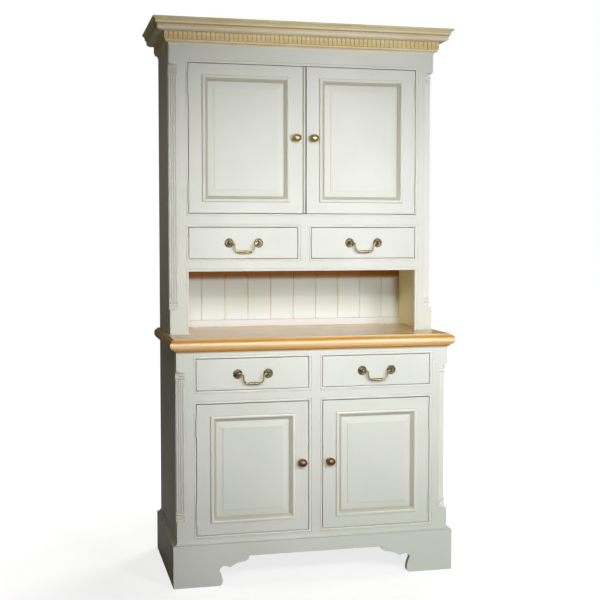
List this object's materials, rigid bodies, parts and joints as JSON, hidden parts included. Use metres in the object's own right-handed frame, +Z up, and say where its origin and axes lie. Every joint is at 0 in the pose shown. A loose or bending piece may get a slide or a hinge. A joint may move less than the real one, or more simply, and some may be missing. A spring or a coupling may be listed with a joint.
{
  "type": "step back cupboard",
  "caption": "Tall painted step back cupboard: a base with drawers, panelled doors and a moulded oak worktop, and a set-back upper part with doors, drawers, open recess and dentil cornice.",
  "frame": {"origin": "on the floor, under the middle of the bounding box of the whole cupboard", "axes": "+X to the right seen from the front, -Y the way the front faces, +Z up"},
  "size_m": [1.167, 0.569, 2.086],
  "materials": {
    "paint": "satin pale sage-white paint with an ochre glaze left in the quirks",
    "oak": "oiled honey oak",
    "softwood": "plain planed pine",
    "hinge_paint": "painted over with the doors",
    "bright_brass": "polished, lightly aged",
    "bronze": "bronzed, satin",
    "antique_brass": "antique, dark in the hollows"
  },
  "bodies": {
    "carcass": {"plinth_front": "paint", "plinth_sides": "paint", "plinth_blocks": "softwood", "plinth_moulding": "paint", "base_sides": "paint", "base_bottom": "paint", "base_back": "paint", "base_posts": "paint", "base_frame": "paint", "base_beads": "paint", "base_drawer_runners": "softwood", "shelves": "paint", "shelf_battens": "softwood", "worktop": "oak", "upper_sides": "paint", "upper_top": "paint", "cupboard_floor": "paint", "recess_ceiling": "paint", "back_boards": "paint", "recess_back_rail": "paint", "upper_posts": "paint", "upper_frame": "paint", "upper_beads": "paint", "upper_drawer_runners": "softwood", "cornice_crown": "paint", "dentil_band": "paint", "hinge_leaves": "hinge_paint", "door_catches": "softwood"},
    "door_lower_left": {"door_lower_left_frame": "paint", "door_lower_left_panel": "paint", "door_lower_left_knob": "bronze", "door_lower_left_fittings": "hinge_paint"},
    "door_lower_right": {"door_lower_right_frame": "paint", "door_lower_right_panel": "paint", "door_lower_right_knob": "bronze", "door_lower_right_fittings": "hinge_paint"},
    "door_upper_left": {"door_upper_left_frame": "paint", "door_upper_left_panel": "paint", "door_upper_left_knob": "bright_brass", "door_upper_left_fittings": "hinge_paint"},
    "door_upper_right": {"door_upper_right_frame": "paint", "door_upper_right_panel": "paint", "door_upper_right_knob": "bright_brass", "door_upper_right_fittings": "hinge_paint"},
    "drawer_lower_left": {"drawer_lower_left_front": "paint", "drawer_lower_left_box": "softwood", "drawer_lower_left_handle": "antique_brass"},
    "bail_lower_left": {"drawer_lower_left_bail": "antique_brass"},
    "drawer_lower_right": {"drawer_lower_right_front": "paint", "drawer_lower_right_box": "softwood", "drawer_lower_right_handle": "antique_brass"},
    "bail_lower_right": {"drawer_lower_right_bail": "antique_brass"},
    "drawer_upper_left": {"drawer_upper_left_front": "paint", "drawer_upper_left_box": "softwood", "drawer_upper_left_handle": "antique_brass"},
    "bail_upper_left": {"drawer_upper_left_bail": "antique_brass"},
    "drawer_upper_right": {"drawer_upper_right_front": "paint", "drawer_upper_right_box": "softwood", "drawer_upper_right_handle": "antique_brass"},
    "bail_upper_right": {"drawer_upper_right_bail": "antique_brass"}
  },
  "joints": [
    {"name": "door_lower_left_swing", "type": "hinge", "parent": "carcass", "child": "door_lower_left", "pos_m": [-0.44775, -0.255, 0.42725], "axis": [0, 0, -1], "range_deg": [0, 110]},
    {"name": "door_lower_right_swing", "type": "hinge", "parent": "carcass", "child": "door_lower_right", "pos_m": [0.44775, -0.255, 0.42725], "axis": [0, 0, 1], "range_deg": [0, 110]},
    {"name": "door_upper_left_swing", "type": "hinge", "parent": "carcass", "child": "door_upper_left", "pos_m": [-0.44775, -0.079, 1.6485], "axis": [0, 0, -1], "range_deg": [0, 110]},
    {"name": "door_upper_right_swing", "type": "hinge", "parent": "carcass", "child": "door_upper_right", "pos_m": [0.44775, -0.079, 1.6485], "axis": [0, 0, 1], "range_deg": [0, 110]},
    {"name": "drawer_lower_left_slide", "type": "slide", "parent": "carcass", "child": "drawer_lower_left", "axis": [0, -1, 0], "range_m": [0, 0.35]},
    {"name": "bail_lower_left_swing", "type": "hinge", "parent": "drawer_lower_left", "child": "bail_lower_left", "pos_m": [-0.2375, -0.2685, 0.777], "axis": [-1, 0, 0], "range_deg": [-18, 150]},
    {"name": "drawer_lower_right_slide", "type": "slide", "parent": "carcass", "child": "drawer_lower_right", "axis": [0, -1, 0], "range_m": [0, 0.35]},
    {"name": "bail_lower_right_swing", "type": "hinge", "parent": "drawer_lower_right", "child": "bail_lower_right", "pos_m": [0.2375, -0.2685, 0.777], "axis": [-1, 0, 0], "range_deg": [-18, 150]},
    {"name": "drawer_upper_left_slide", "type": "slide", "parent": "carcass", "child": "drawer_upper_left", "axis": [0, -1, 0], "range_m": [0, 0.23]},
    {"name": "bail_upper_left_swing", "type": "hinge", "parent": "drawer_upper_left", "child": "bail_upper_left", "pos_m": [-0.2375, -0.0925, 1.25525], "axis": [-1, 0, 0], "range_deg": [-18, 150]},
    {"name": "drawer_upper_right_slide", "type": "slide", "parent": "carcass", "child": "drawer_upper_right", "axis": [0, -1, 0], "range_m": [0, 0.23]},
    {"name": "bail_upper_right_swing", "type": "hinge", "parent": "drawer_upper_right", "child": "bail_upper_right", "pos_m": [0.2375, -0.0925, 1.25525], "axis": [-1, 0, 0], "range_deg": [-18, 150]}
  ]
}
